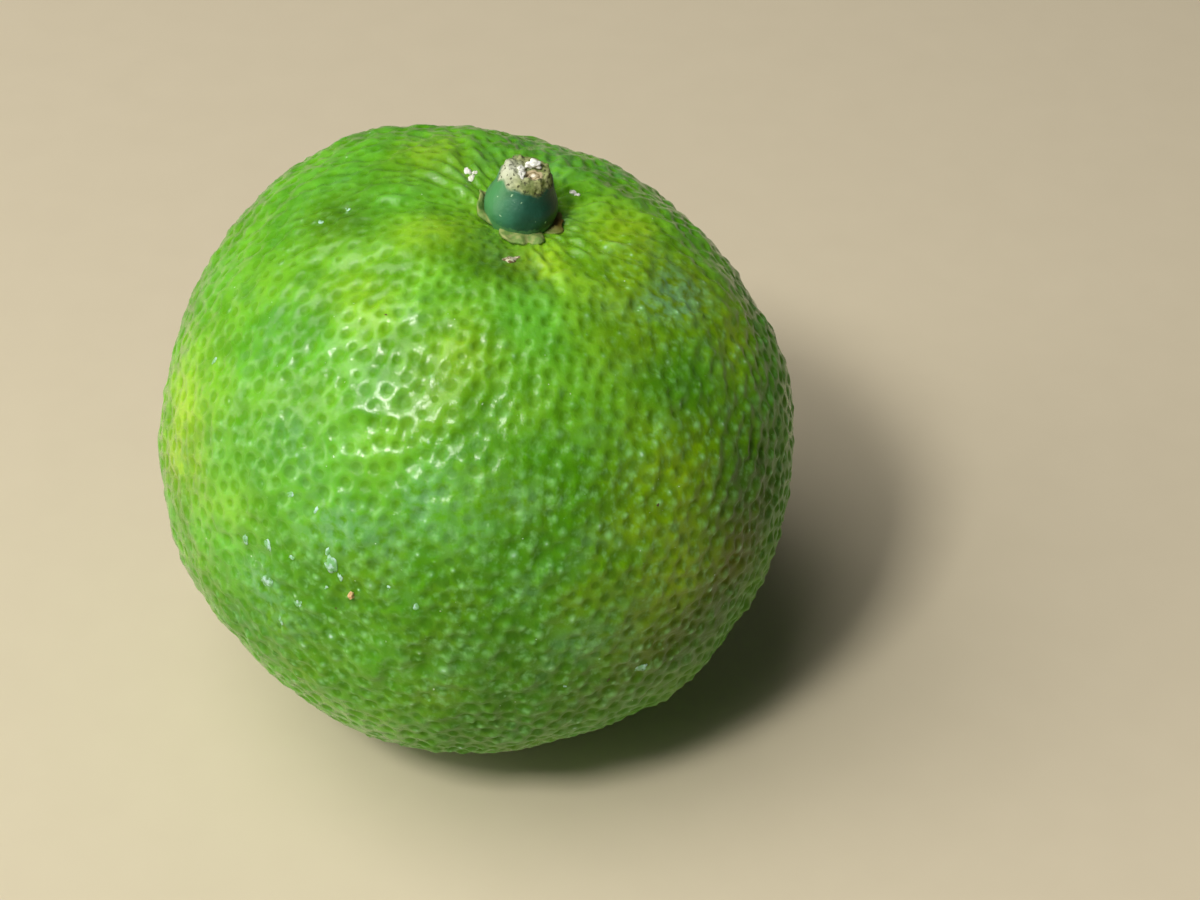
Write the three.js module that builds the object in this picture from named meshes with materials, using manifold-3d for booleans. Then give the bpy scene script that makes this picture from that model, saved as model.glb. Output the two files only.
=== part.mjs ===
// Sudachi: a small green citrus fruit, as picked, with its calyx and a short cut stub of stem.
//
// Millimetres, +Z up. The fruit rests on the plane z = 0 on a small flat spot, and the middle of
// its bounding box stands over the origin. It lies with its stem leaning a little towards +X.
// The skin is worked out as a radius for each direction from the heart, the middle of the fruit.
// Directions are in the fruit's own frame, whose Z axis is the stem axis.

import * as THREE from 'three';
import { mergeVertices } from 'three/addons/utils/BufferGeometryUtils.js';
import Module from 'manifold-3d';

const wasm = await Module();
wasm.setup();

// The fruit: a broad-shouldered, slightly flattened ball.
const waistRadius = 20;
const stemEndShare = 0.945; // half height towards the stem, over the waist radius
const blossomEndShare = 0.935; // the same towards the blossom end
const shoulderPower = 2.2; // 2 makes an ellipsoid, and more makes broader shoulders
const dimpleDepth = 1.35; // the hollow that the stem sits in
const dimpleWidth = 17; // degrees
const leanDegrees = 8;
const heartHeight = 18.5; // low enough to leave a flat spot about 11 across

// Swellings and flats of the skin. round is the angle round the stem axis from the fruit's own X,
// and down is the angle from the stem end, both in degrees; height is in mm and width in degrees.
const swellings = [
  { place: 'back left shoulder', round: 140, down: 54, height: 0.62, width: 19 },
  { place: 'back left step', round: 128, down: 45, height: 0.4, width: 11 },
  { place: 'back right slope', round: 75, down: 40, height: -0.28, width: 18 },
  { place: 'right shoulder', round: 32, down: 54, height: -0.7, width: 20 },
  { place: 'front left flat', round: 215, down: 130, height: -0.68, width: 18 },
  { place: 'front right flat', round: 302, down: 134, height: -0.57, width: 16 },
  { place: 'low right', round: 324, down: 120, height: 0.13, width: 12 },
  { place: 'left cheek', round: 188, down: 105, height: 0.09, width: 20 },
  { place: 'back flat', round: 60, down: 100, height: -0.25, width: 24 },
  { place: 'low back', round: 110, down: 122, height: 0.2, width: 20 },
  { place: 'swelling by the stem', round: 212, down: 19, height: 0.35, width: 8 },
];

// The furrow that runs from the stem down the left side.
const furrow = { round: 176, depth: 0.4, halfWidth: 0.9, start: 2.5, end: 8.5 };

// The stem end: a thin lobed calyx, and the stub of stem that stands on it.
const gap = 0.3; // between neighbouring pieces
const calyxThickness = 0.45;
const calyxRimThinning = 0.4; // share of the thickness lost at the rim
const calyxRadius = 3.15;
const calyxNotchDepth = 0.85;
const calyxNotchWidth = 11; // degrees
const calyxNotches = [25, 80, 137, 218, 318]; // degrees round the stem
const stubHeight = 3.55; // from the fruit's skin to the cut
const stubFootRadius = 1.9;
const stubWidest = { radius: 2.36, height: 1.5 };
const stubNeck = { radius: 1.86, height: 2.65 };
const stubCutRadius = 1.52;
const stubBend = 0.3; // how far the cut lies back from the stem axis
const cutSlope = 10; // degrees that the cut falls away to the back

// Fineness of the meshes.
const fruitSectors = 60;
const fruitBands = 38;
const stemSectors = 40;
const stubSteps = 9;

const colours = {
  peel: { color: 0x5c9a2e, roughness: 0.42, metalness: 0 },
  calyx: { color: 0x8f8a4c, roughness: 0.75, metalness: 0 },
  stem: { color: 0x2f6247, roughness: 0.5, metalness: 0 },
};

const stemAxis = new THREE.Vector3(0, 0, 1);
const radians = THREE.MathUtils.degToRad;
const degrees = THREE.MathUtils.radToDeg;

/** Unit vector at an angle round the stem axis and an angle down from the stem end. */
function directionAt(round, down) {
  const side = Math.sin(radians(down));
  return new THREE.Vector3(
    side * Math.cos(radians(round)),
    side * Math.sin(radians(round)),
    Math.cos(radians(down)),
  );
}

/** A bell curve: 1 at no distance, falling to 1/e at one width. */
function bell(distance, width) {
  return Math.exp(-((distance / width) ** 2));
}

/** Depth of the furrow under a point x, y across the stem axis. */
function furrowDepth(x, y) {
  const along = x * Math.cos(radians(furrow.round)) + y * Math.sin(radians(furrow.round));
  const aside = y * Math.cos(radians(furrow.round)) - x * Math.sin(radians(furrow.round));
  const enters = THREE.MathUtils.smoothstep(along, 0, furrow.start);
  const leaves = 1 - THREE.MathUtils.smoothstep(along, furrow.start, furrow.end);
  return furrow.depth * enters * leaves * bell(aside, furrow.halfWidth);
}

/** Distance from the heart to the skin in a direction of the fruit's own frame. */
function skinRadius(direction) {
  const share = direction.z > 0 ? stemEndShare : blossomEndShare;
  const across = Math.hypot(direction.x, direction.y) ** shoulderPower;
  const along = (Math.abs(direction.z) / share) ** shoulderPower;
  let radius = waistRadius * (across + along) ** (-1 / shoulderPower);
  radius -= dimpleDepth * bell(degrees(direction.angleTo(stemAxis)), dimpleWidth);
  for (const { round, down, height, width } of swellings) {
    const away = degrees(direction.distanceTo(directionAt(round, down)));
    radius += height * bell(away, width);
  }
  if (direction.z > 0) {
    radius -= furrowDepth(direction.x * waistRadius, direction.y * waistRadius);
  }
  return radius;
}

/** Height of the skin over a point x, y near the stem: a few guesses, each closer than the last. */
function skinHeight(x, y) {
  const point = new THREE.Vector3(x, y, waistRadius);
  const guesses = 6;
  for (let guess = 0; guess < guesses; guess += 1) {
    const radius = skinRadius(point.clone().normalize());
    point.z = Math.sqrt(radius ** 2 - x ** 2 - y ** 2);
  }
  return point.z;
}

/** A geometry class's shape as one closed mesh with shared vertices, its Y axis turned to Z. */
function closedAlongZ(geometry) {
  geometry.rotateX(Math.PI / 2);
  geometry.deleteAttribute('normal');
  geometry.deleteAttribute('uv');
  return mergeVertices(geometry);
}

/** Moves each vertex of a geometry to the place that move works out for it. */
function moveVertices(geometry, move) {
  const positions = geometry.getAttribute('position');
  const point = new THREE.Vector3();
  for (let index = 0; index < positions.count; index += 1) {
    point.fromBufferAttribute(positions, index);
    move(point);
    positions.setXYZ(index, point.x, point.y, point.z);
  }
}

function toManifold(geometry) {
  const vertProperties = new Float32Array(geometry.getAttribute('position').array);
  const triVerts = new Uint32Array(geometry.index.array);
  return new wasm.Manifold(new wasm.Mesh({ numProp: 3, vertProperties, triVerts }));
}

function fromManifold(solid) {
  const { vertProperties, triVerts } = solid.getMesh();
  const geometry = new THREE.BufferGeometry();
  geometry.setAttribute('position', new THREE.BufferAttribute(vertProperties, 3));
  geometry.setIndex(new THREE.BufferAttribute(triVerts, 1));
  return geometry;
}

/** The whole fruit as it lies: a ball drawn out to its skin, leaned, and cut flat underneath. */
function fruitGeometry(lie) {
  const ball = closedAlongZ(new THREE.SphereGeometry(1, fruitSectors, fruitBands));
  moveVertices(ball, (point) => {
    point.normalize();
    point.multiplyScalar(skinRadius(point)).applyMatrix4(lie);
  });
  const slab = new THREE.BoxGeometry(waistRadius, waistRadius, waistRadius);
  slab.translate(0, 0, -waistRadius / 2);
  slab.deleteAttribute('normal');
  slab.deleteAttribute('uv');
  const restSlab = toManifold(mergeVertices(slab));
  return fromManifold(toManifold(ball).subtract(restSlab));
}

/** How far the calyx reaches from the stem axis at an angle round it: lobes between notches. */
function calyxReach(round) {
  let reach = calyxRadius;
  for (const notch of calyxNotches) {
    const away = Math.abs(((round - notch + 540) % 360) - 180);
    reach -= calyxNotchDepth * bell(away, calyxNotchWidth);
  }
  return reach;
}

/** The calyx: a thin lobed dish that follows the skin under it, one gap above it. */
function calyxGeometry() {
  const shares = [0.2, 0.4, 0.6, 0.8, 1];
  const underside = shares.map((share) => new THREE.Vector2(share, 0));
  const topside = shares.map((share) => new THREE.Vector2(share, 1)).reverse();
  const outline = [new THREE.Vector2(0, 0), ...underside, ...topside, new THREE.Vector2(0, 1)];
  const dish = closedAlongZ(new THREE.LatheGeometry(outline, stemSectors));
  moveVertices(dish, (point) => {
    const level = point.z;
    const share = Math.hypot(point.x, point.y);
    const reach = calyxReach(degrees(Math.atan2(point.y, point.x)));
    point.x *= reach;
    point.y *= reach;
    const thickness = calyxThickness * (1 - calyxRimThinning * share ** 4);
    point.z = skinHeight(point.x, point.y) + gap + level * thickness;
  });
  return dish;
}

/** The stub of stem: a swollen foot that narrows to a cut end, bent slightly to the back. */
function stubGeometry() {
  const foot = calyxThickness + 2 * gap;
  const side = new THREE.SplineCurve([
    new THREE.Vector2(stubFootRadius, foot),
    new THREE.Vector2(stubWidest.radius, stubWidest.height),
    new THREE.Vector2(stubNeck.radius, stubNeck.height),
    new THREE.Vector2(stubCutRadius, stubHeight),
  ]).getPoints(stubSteps);
  const outline = [new THREE.Vector2(0, foot), ...side, new THREE.Vector2(0, stubHeight)];
  const stub = closedAlongZ(new THREE.LatheGeometry(outline, stemSectors));
  const floor = skinHeight(0, 0);
  moveVertices(stub, (point) => {
    const raised = (point.z - foot) / (stubHeight - foot);
    point.z += floor - Math.tan(radians(cutSlope)) * point.y * raised ** 2;
    point.y += stubBend * raised ** 2;
  });
  return stub;
}

function subPart(name, geometry, look) {
  geometry.computeVertexNormals();
  const mesh = new THREE.Mesh(geometry, new THREE.MeshStandardMaterial(look));
  mesh.name = name;
  return mesh;
}

// The lie of the fruit: leaned towards +X, with its heart at its height over the rest plane.
const lie = new THREE.Matrix4().makeRotationY(radians(leanDegrees));
lie.setPosition(0, 0, heartHeight);

const stemEnd = new THREE.Group();
stemEnd.rotation.y = radians(leanDegrees);
stemEnd.position.z = heartHeight;
stemEnd.add(subPart('calyx', calyxGeometry(), colours.calyx));
stemEnd.add(subPart('stem_stub', stubGeometry(), colours.stem));

const sudachi = new THREE.Group();
sudachi.name = 'sudachi';
sudachi.add(subPart('fruit', fruitGeometry(lie), colours.peel));
sudachi.add(stemEnd);

export default sudachi;
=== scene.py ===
# %% [markdown]
# # A sudachi
# A sudachi is a green citrus fruit the size of a ping-pong ball. Its looks come almost wholly from
# its rind: thousands of small oil glands, each a pit in a waxy green skin, over slow swells that
# differ from one fruit to the next. The CAD frame gives the size and the place of the fruit, its
# calyx and the stub of its stem. This lesson grows the fine surface on them.

import bpy
import numpy as np
from mathutils import Matrix, Vector


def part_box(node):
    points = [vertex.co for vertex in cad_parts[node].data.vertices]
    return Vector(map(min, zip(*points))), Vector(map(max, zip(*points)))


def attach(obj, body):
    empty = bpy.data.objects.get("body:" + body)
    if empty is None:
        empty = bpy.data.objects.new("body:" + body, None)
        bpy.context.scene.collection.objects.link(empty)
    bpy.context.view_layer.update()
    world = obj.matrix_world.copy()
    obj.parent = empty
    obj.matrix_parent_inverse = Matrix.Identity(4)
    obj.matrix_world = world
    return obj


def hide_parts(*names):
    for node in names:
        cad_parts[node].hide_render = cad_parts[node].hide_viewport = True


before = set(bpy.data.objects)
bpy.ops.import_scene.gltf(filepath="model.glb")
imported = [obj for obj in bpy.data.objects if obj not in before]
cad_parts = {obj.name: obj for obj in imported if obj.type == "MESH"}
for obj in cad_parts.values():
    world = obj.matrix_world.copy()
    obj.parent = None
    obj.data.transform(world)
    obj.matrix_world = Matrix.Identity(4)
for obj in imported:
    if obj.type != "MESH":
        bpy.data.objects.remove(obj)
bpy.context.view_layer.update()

MM = 0.001
chance = np.random.default_rng(1983)
fruit_low, fruit_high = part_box("fruit")
print("CAD fruit, mm:", [round(side / MM, 1) for side in fruit_high - fruit_low])

# %% [markdown]
# ## Small tools
# Shapes are worked out in millimetres as whole numpy arrays, and become metres when they are put
# into a mesh. Three of the tools are curves that everything below is made from: a bell, a smooth
# step, and a sum of waves, which is the cheapest way to make a surface that wanders gently.

# %% Curves and waves
def bell(distance, width):
    """A bell curve: 1 at no distance, falling to 1/e at one width."""
    return np.exp(-((distance / width) ** 2))


def smooth_step(value, low, high):
    """0 below low, 1 above high, and an S-shaped climb between them."""
    share = np.clip((value - low) / (high - low), 0.0, 1.0)
    return share * share * (3.0 - 2.0 * share)


def toward(round_angle, down_angle):
    """Unit vector at an angle round the stem axis and an angle down from the stem end, both in
    degrees."""
    turn, down = np.broadcast_arrays(np.radians(round_angle), np.radians(down_angle))
    return np.stack(
        [np.sin(down) * np.cos(turn), np.sin(down) * np.sin(turn), np.cos(down)], axis=-1
    )


def waves(points, length, count=40):
    """Gentle random swells of about that length: a sum of cosines in random directions, scaled to
    a spread of about 1."""
    ways = chance.normal(size=(count, 3))
    ways /= np.linalg.norm(ways, axis=1, keepdims=True)
    ways *= 2 * np.pi / (length * chance.uniform(0.75, 1.35, size=(count, 1)))
    starts = chance.uniform(0, 2 * np.pi, count)
    return np.cos(points @ ways.T + starts).sum(axis=1) / np.sqrt(count / 2)


# %% Meshes from arrays
def make_piece(name, points, faces, material, **attributes):
    """A mesh object from points in millimetres and faces of point numbers. An attribute with one
    value a point is put on the points, and one with a value a face is put on the faces."""
    mesh = bpy.data.meshes.new(name)
    mesh.from_pydata((points * MM).tolist(), [], faces)
    mesh.polygons.foreach_set("use_smooth", np.ones(len(mesh.polygons), bool))
    for label, values in attributes.items():
        domain = "POINT" if len(values) == len(points) else "FACE"
        vector = np.ndim(values) == 2
        layer = mesh.attributes.new(label, "FLOAT_VECTOR" if vector else "FLOAT", domain)
        layer.data.foreach_set("vector" if vector else "value", np.ravel(values).astype(np.float32))
    mesh.materials.append(material)
    mesh.validate()
    piece = bpy.data.objects.new(name, mesh)
    bpy.context.scene.collection.objects.link(piece)
    print(name, "has", sum(len(face) - 2 for face in faces), "triangles, in", material.name)
    return piece


def close_rings(rings, first, last):
    """Joins rings of points, one inside or above the next, into a closed skin: quads between
    neighbouring rings, and a fan of triangles from each end point. The rings turn to the left as
    seen from the first end point, so that the faces point out."""
    count, around = rings.shape[:2]
    points = np.concatenate([rings.reshape(-1, 3), [first, last]])
    here = np.arange(count * around).reshape(count, around)
    beside = np.roll(here, -1, axis=1)
    quads = np.stack([here[:-1], here[1:], beside[1:], beside[:-1]], axis=-1).reshape(-1, 4)
    top, bottom = count * around, count * around + 1
    first_fan = np.stack([np.full(around, top), here[0], beside[0]], axis=-1)
    last_fan = np.stack([np.full(around, bottom), beside[-1], here[-1]], axis=-1)
    return points, quads.tolist() + first_fan.tolist() + last_fan.tolist()


# %% [markdown]
# A material is a tree of shader nodes. One helper adds any node, sets its choices and fills its
# inputs, each with a plain value or with another node's output. The rest put a few nodes together
# into things that every finish here needs: colours laid over one another, and blotches and
# roughness of a real size.

# %% Colours and nodes
def colour(code):
    """A hex sRGB colour as the linear red, green, blue and alpha that Blender works with."""
    srgb = np.array([int(code[place : place + 2], 16) for place in (1, 3, 5)]) / 255
    linear = np.where(srgb <= 0.04045, srgb / 12.92, ((srgb + 0.055) / 1.055) ** 2.4)
    return (*linear.tolist(), 1.0)


def add_node(tree, kind, inputs=(), output=0, **choices):
    """Adds a shader node, sets its choices, and fills its inputs, given in order or by name, each
    with a value or with another node's output. Hands back the output that is asked for."""
    node = tree.nodes.new("ShaderNode" + kind)
    for name, value in choices.items():
        setattr(node, name, value)
    for name, value in inputs.items() if isinstance(inputs, dict) else enumerate(inputs):
        if isinstance(value, bpy.types.NodeSocket):
            tree.links.new(value, node.inputs[name])
        else:
            node.inputs[name].default_value = value
    return node.outputs[output] if node.outputs else None


def new_material(name):
    """An empty material, and the tree to build it in."""
    material = bpy.data.materials.new(name)
    material.use_nodes = True
    material.node_tree.nodes.clear()
    return material, material.node_tree


def finish_material(tree, **inputs):
    """Ends a tree with a Principled shader. The names of its inputs are written with
    underscores."""
    values = {name.replace("_", " "): value for name, value in inputs.items()}
    add_node(tree, "OutputMaterial", {"Surface": add_node(tree, "BsdfPrincipled", values)})


# %% Layers, blotches and roughness
SMOOTH = {"interpolation_type": "SMOOTHSTEP"}  # for Map Range: value, from low, high, to low, high


def layered(tree, below, *layers):
    """Colours laid over one another. Each layer is its share, from 0 to 1, and its colour, and a
    colour is a hex code or another node's output. A Mix node takes colours in sockets 6 and 7 and
    gives one out of socket 2."""
    for share, above in layers:
        pair = [colour(each) if isinstance(each, str) else each for each in (below, above)]
        below = add_node(tree, "Mix", {0: share, 6: pair[0], 7: pair[1]}, 2, data_type="RGBA")
    return below


def grain(tree, size_mm, detail=2.0, rough=0.5, place=None):
    """Noise whose blotches are about size_mm across, in the piece's own coordinates or others."""
    place = place or add_node(tree, "TexCoord", output="Object")
    scale = 1 / (size_mm * MM)
    inputs = {"Vector": place, "Scale": scale, "Detail": detail, "Roughness": rough}
    return add_node(tree, "TexNoise", inputs)


def blotches(tree, size_mm, detail, low, high, least=0.0, most=1.0, place=None):
    """Soft-edged blotches about size_mm across: noise, eased from least to most as it goes from
    low to high."""
    noise = grain(tree, size_mm, detail, place=place)
    return add_node(tree, "MapRange", [noise, low, high, least, most], **SMOOTH)


def roughened(tree, size_mm, detail, depth):
    """Normals of a surface that is rough with noise of a real size, to a depth in mm."""
    height = add_node(tree, "Math", [grain(tree, size_mm, detail), depth], operation="MULTIPLY")
    return add_node(tree, "Bump", {"Height": height, "Distance": MM, "Strength": 1.0})


# %% [markdown]
# ## The shape of the skin
# A picked fruit could be sculpted by hand, but a rule is easier to change and to check. The skin
# is a radius for every direction from the heart, the middle of the fruit: a broad-shouldered ball,
# less the dimple round the stem, plus a few swellings and flats. The rule is the one that the CAD
# solid was made by, so the fine skin lies on the frame.

# %% The fruit's own frame
WAIST = 20.0  # radius at the waist, mm
HEART = 18.5  # height of the heart over the floor, mm
LEAN = np.radians(8)
stem_axis = np.array([np.sin(LEAN), 0.0, np.cos(LEAN)])
own_axes = np.array([[np.cos(LEAN), 0.0, -np.sin(LEAN)], [0.0, 1.0, 0.0], stem_axis])


def placed(points):
    """Points of the fruit's own frame, whose Z axis is the stem axis, as they lie in the scene."""
    return points @ own_axes + [0.0, 0.0, HEART]


# %% The smooth skin
SWELLINGS = [  # angle round the stem, angle down from it, height in mm, width in degrees
    (140, 54, 0.62, 19),  # back left shoulder
    (128, 45, 0.40, 11),  # the step beside it
    (75, 40, -0.28, 18),  # back right slope
    (32, 54, -0.70, 20),  # right shoulder
    (215, 130, -0.68, 18),  # front left flat
    (302, 134, -0.57, 16),  # front right flat
    (324, 120, 0.13, 12),  # low right
    (188, 105, 0.09, 20),  # left cheek
    (60, 100, -0.25, 24),  # back flat
    (110, 122, 0.20, 20),  # low back
    (212, 19, 0.35, 8),  # swelling by the stem
]
STEM_END, BLOSSOM_END = 0.945, 0.935  # half heights over the waist radius
SHOULDERS = 2.2  # 2 makes an ellipsoid, and more makes broader shoulders
DIMPLE_DEPTH, DIMPLE_WIDTH = 1.35, 17  # mm, degrees
FURROW_ROUND, FURROW_DEPTH, FURROW_WIDTH = 176, 0.40, 0.9  # degrees, mm, mm
FURROW_START, FURROW_END = 2.5, 8.5  # mm from the stem axis


def furrow(across):
    """The furrow that leaves the stem to one side: a bell across its line, which fades in near
    the stem and out again at its end."""
    line = toward(FURROW_ROUND, 90)[:2]
    along = across @ line
    aside = across @ np.array([-line[1], line[0]])
    reach = smooth_step(along, 0, FURROW_START)
    reach = reach * (1 - smooth_step(along, FURROW_START, FURROW_END))
    return FURROW_DEPTH * reach * bell(aside, FURROW_WIDTH)


def skin_radius(ways):
    """Distance from the heart to the smooth skin, in mm, for unit vectors: a superellipse turned
    round the stem axis, less a bell for the dimple, plus a bell for each swelling."""
    share = np.where(ways[:, 2] > 0, STEM_END, BLOSSOM_END)
    across = np.hypot(ways[:, 0], ways[:, 1]) ** SHOULDERS
    along = (np.abs(ways[:, 2]) / share) ** SHOULDERS
    radius = WAIST * (across + along) ** (-1 / SHOULDERS)
    down = np.degrees(np.arccos(np.clip(ways[:, 2], -1, 1)))
    radius = radius - DIMPLE_DEPTH * bell(down, DIMPLE_WIDTH)
    for turn, down, rise, width in SWELLINGS:
        away = np.degrees(np.linalg.norm(ways - toward(turn, down), axis=1))
        radius = radius + rise * bell(away, width)
    return radius - np.where(ways[:, 2] > 0, furrow(ways[:, :2] * WAIST), 0.0)


print("skin at the waist, mm:", np.round(skin_radius(toward([0, 90, 180, 270], 90)), 2))

# %% [markdown]
# ## The oil glands
# The glands are spread evenly but not in rows. Scattering them at random would leave clumps and
# bare spots, so they start on a spiral that covers a ball evenly, are jostled, and then push
# their neighbours away a few times. Towards the stem the skin is drawn in: its glands are closer
# together and longer than they are wide. So they are spread on an even ball, the pattern ball,
# and a rule says which place on it each place of the real skin came from.

# %% Drawn-in skin
def spread_out(arc):
    """Distance from the stem before the skin was drawn in, both in mm: the same far away, and like
    a power of 0.35 within a few millimetres of the stem. The fourth root of the sum of their
    fourth powers joins the two."""
    near = 9.0 * ((arc + 1.0) ** 0.35 - 1.0)
    return (arc**4 + near**4) ** 0.25


def pattern_down(down):
    """Angle on the pattern ball for an angle down from the stem, both in radians: the spread-out
    distance, scaled so that the blossom end stays where it is."""
    return spread_out(down * WAIST) * np.pi / spread_out(np.pi * WAIST)


down_steps = np.linspace(0.0, np.pi, 4000)
pattern_steps = pattern_down(down_steps)


def real_way(pattern_way):
    """The direction on the real fruit that a direction on the pattern ball belongs to."""
    down = np.interp(np.arccos(np.clip(pattern_way[:, 2], -1, 1)), pattern_steps, down_steps)
    flat = np.hypot(pattern_way[:, 0], pattern_way[:, 1])
    side = np.sin(down) / np.maximum(flat, 1e-9)
    return np.stack([pattern_way[:, 0] * side, pattern_way[:, 1] * side, np.cos(down)], axis=1)


# %% Spread the glands
GLAND_PITCH = 1.18  # mm, middle to middle
PACKING = 0.866  # area for each gland over the square of the pitch, in a honeycomb
JOSTLE, PUSHES, PUSH_SHARE = 0.36, 9, 0.3
gland_count = int(4 * np.pi * WAIST**2 / (PACKING * GLAND_PITCH**2))


def spread_on_ball(count, pitch):
    """Points spread evenly but irregularly over a unit ball: a spiral, jostled, and then pushed
    apart where two are closer than a pitch."""
    turn = np.arange(count) + 0.5
    height = 1 - 2 * turn / count
    angle = turn * np.pi * (3 - np.sqrt(5))
    side = np.sqrt(1 - height**2)
    points = np.stack([side * np.cos(angle), side * np.sin(angle), height], axis=1)
    points = points + chance.normal(size=points.shape) * JOSTLE * pitch
    for push in range(PUSHES):
        points /= np.linalg.norm(points, axis=1, keepdims=True)
        near = points.astype(np.float32)
        apart = np.sqrt(np.maximum(2 - 2 * near @ near.T, 1e-6))
        np.fill_diagonal(apart, 9.0)
        weight = np.clip(pitch / apart - 1, 0, 0.6)
        pushed = weight.sum(axis=1, keepdims=True) * points - weight @ near
        points = points + PUSH_SHARE * pushed
    return points / np.linalg.norm(points, axis=1, keepdims=True)


# %% Glands of the fruit
# Each size is drawn from a mean and a spread, and kept between a least and a most.
glands = spread_on_ball(gland_count, GLAND_PITCH / WAIST)
gland_radius = np.clip(chance.normal(0.45, 0.07, gland_count), 0.28, 0.60)
gland_depth = gland_radius * np.clip(chance.normal(0.32, 0.09, gland_count), 0.1, 0.5)
print(gland_count, "oil glands")

# %% [markdown]
# Where the glands stand out instead of sinking in, the skin is knobbly, as on the side of a
# sudachi that grew in the shade. A knob sits beside each gland, so the knobs are the glands turned
# a little about one axis, and jostled again so that the two patterns don't match.

# %% Knobs beside the glands
def turned(ways, axis, angle):
    """Directions turned about an axis by an angle in radians, by Rodrigues' rule."""
    axis = np.array(axis) / np.linalg.norm(axis)
    along = (ways @ axis)[:, None] * axis
    return along + (ways - along) * np.cos(angle) + np.cross(axis, ways) * np.sin(angle)


KNOB_AWAY, KNOB_JOSTLE = 0.52, 0.13  # mm
knob_spots = turned(glands, (0.76, 0.36, 0.54), KNOB_AWAY / WAIST)
knob_spots += chance.normal(size=glands.shape) * KNOB_JOSTLE / WAIST
knob_spots /= np.linalg.norm(knob_spots, axis=1, keepdims=True)
knob_radius = np.clip(chance.normal(0.30, 0.08, gland_count), 0.14, 0.5)
print("knobs, mm across:", np.round(2 * knob_radius.mean(), 2))

# %% [markdown]
# ## The rind
# A ball of rings would crowd its points at the two ends. The six faces of a cube, blown up into a
# ball, share them out evenly, which matters because every gland needs about twenty points.

# %% An even ball
def cube_ball(steps):
    """Directions and quads of a ball made from a cube. Each face is a grid of equal angles, so a
    point is the tangent of its two angles, brought to unit length. Points that two faces share
    are merged."""
    angles = np.linspace(-np.pi / 4, np.pi / 4, steps + 1)
    across, along = np.meshgrid(np.tan(angles), np.tan(angles), indexing="ij")
    front = np.stack([across, along, np.ones_like(across)], axis=-1).reshape(-1, 3)
    turns = [(0, 1, 2), (1, 2, 0), (2, 0, 1)]
    sides = [front[:, turn] for turn in turns]
    sides += [-side for side in sides]
    number = np.arange((steps + 1) ** 2).reshape(steps + 1, steps + 1)
    quad = np.stack([number[:-1, :-1], number[1:, :-1], number[1:, 1:], number[:-1, 1:]], axis=-1)
    quad = quad.reshape(-1, 4)
    quads = [quad + place * len(front) for place in range(3)]
    quads += [quad[:, ::-1] + place * len(front) for place in range(3, 6)]
    points = np.concatenate(sides)
    key = np.round(points * 1e6 / np.abs(points).max(axis=1, keepdims=True)).astype(np.int64)
    kept, merged = np.unique(key, axis=0, return_index=True, return_inverse=True)[1:]
    points = points[kept] / np.linalg.norm(points[kept], axis=1, keepdims=True)
    return points, merged.ravel()[np.concatenate(quads)]


RIND_STEPS = 128  # along the edge of the cube
pattern_ways, rind_faces = cube_ball(RIND_STEPS)
rind_ways = real_way(pattern_ways)
print(len(pattern_ways), "points on the rind")

# %% [markdown]
# Each point of the skin is lowered by the glands near it. The four nearest are found by comparing
# every point with every gland, a few thousand points at a time, which is quick as a product of
# two matrices.

# %% The nearest glands
def nearest_of(spots, ways, kept=4):
    """Numbers of the spots nearest to each direction, and their distances in mm on the pattern
    ball, nearest first."""
    numbers, distances = [], []
    for part in np.array_split(ways.astype(np.float32), 40):
        closeness = part @ spots.T.astype(np.float32)
        rows = np.arange(len(part))
        found, apart = [], []
        for turn in range(kept):
            best = closeness.argmax(axis=1)
            found.append(best)
            apart.append(WAIST * np.linalg.norm(part - spots[best], axis=1))
            closeness[rows, best] = -2
        numbers.append(np.stack(found, axis=1))
        distances.append(np.stack(apart, axis=1))
    return np.concatenate(numbers), np.concatenate(distances)


near_gland, near_distance = nearest_of(glands, pattern_ways)
near_knob, knob_distance = nearest_of(knob_spots, pattern_ways, kept=2)
print("nearest gland, mm away on average:", np.round(near_distance[:, 0].mean(), 2))

# %% [markdown]
# The relief is a sum of small heights, most of them under a tenth of a millimetre. Sculpting it
# would take days, and a bump map would leave the outline bare. The rules below say where the
# hollows are deep, where knobs take their place, and where the skin is gathered at the stem.

# %% Rules for the relief
stem_arc = WAIST * np.arccos(np.clip(rind_ways[:, 2], -1, 1))
stem_turn = np.arctan2(rind_ways[:, 1], rind_ways[:, 0])


def gland_relief(number, distance):
    """Each gland is a bell-shaped hollow. Where the hollows of neighbours run together, the wall
    between them sinks, and stays highest in the corners where three meet."""
    share = distance / (0.9 * gland_radius[number])
    return -(gland_depth[number] * np.exp(-(share**2))).sum(axis=1)


def patches(ways, places):
    """The sum of bells at named places: angle round the stem, angle down, width in degrees and
    strength."""
    total = np.zeros(len(ways))
    for turn, down, width, strength in places:
        away = np.degrees(np.linalg.norm(ways - toward(turn, down), axis=1))
        total += strength * bell(away, width)
    return total


def pleats(turn, arc, count, length):
    """Ridges that run out from the stem like the gathers of a purse: waves over a cylinder round
    the stem, short across and long along."""
    girth = count * length / (2 * np.pi)
    on_cylinder = np.stack([girth * np.cos(turn), girth * np.sin(turn), 0.3 * arc], axis=1)
    return waves(on_cylinder, length) * smooth_step(arc, 1.5, 4.0) * (1 - smooth_step(arc, 5, 12))


# %% Where the rind is knobbly, gathered or soft
STEM_SWELLING = toward(212, 20)  # which is smooth
FRONT = 255  # degrees round the stem, where there are hardly any gathers

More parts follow.
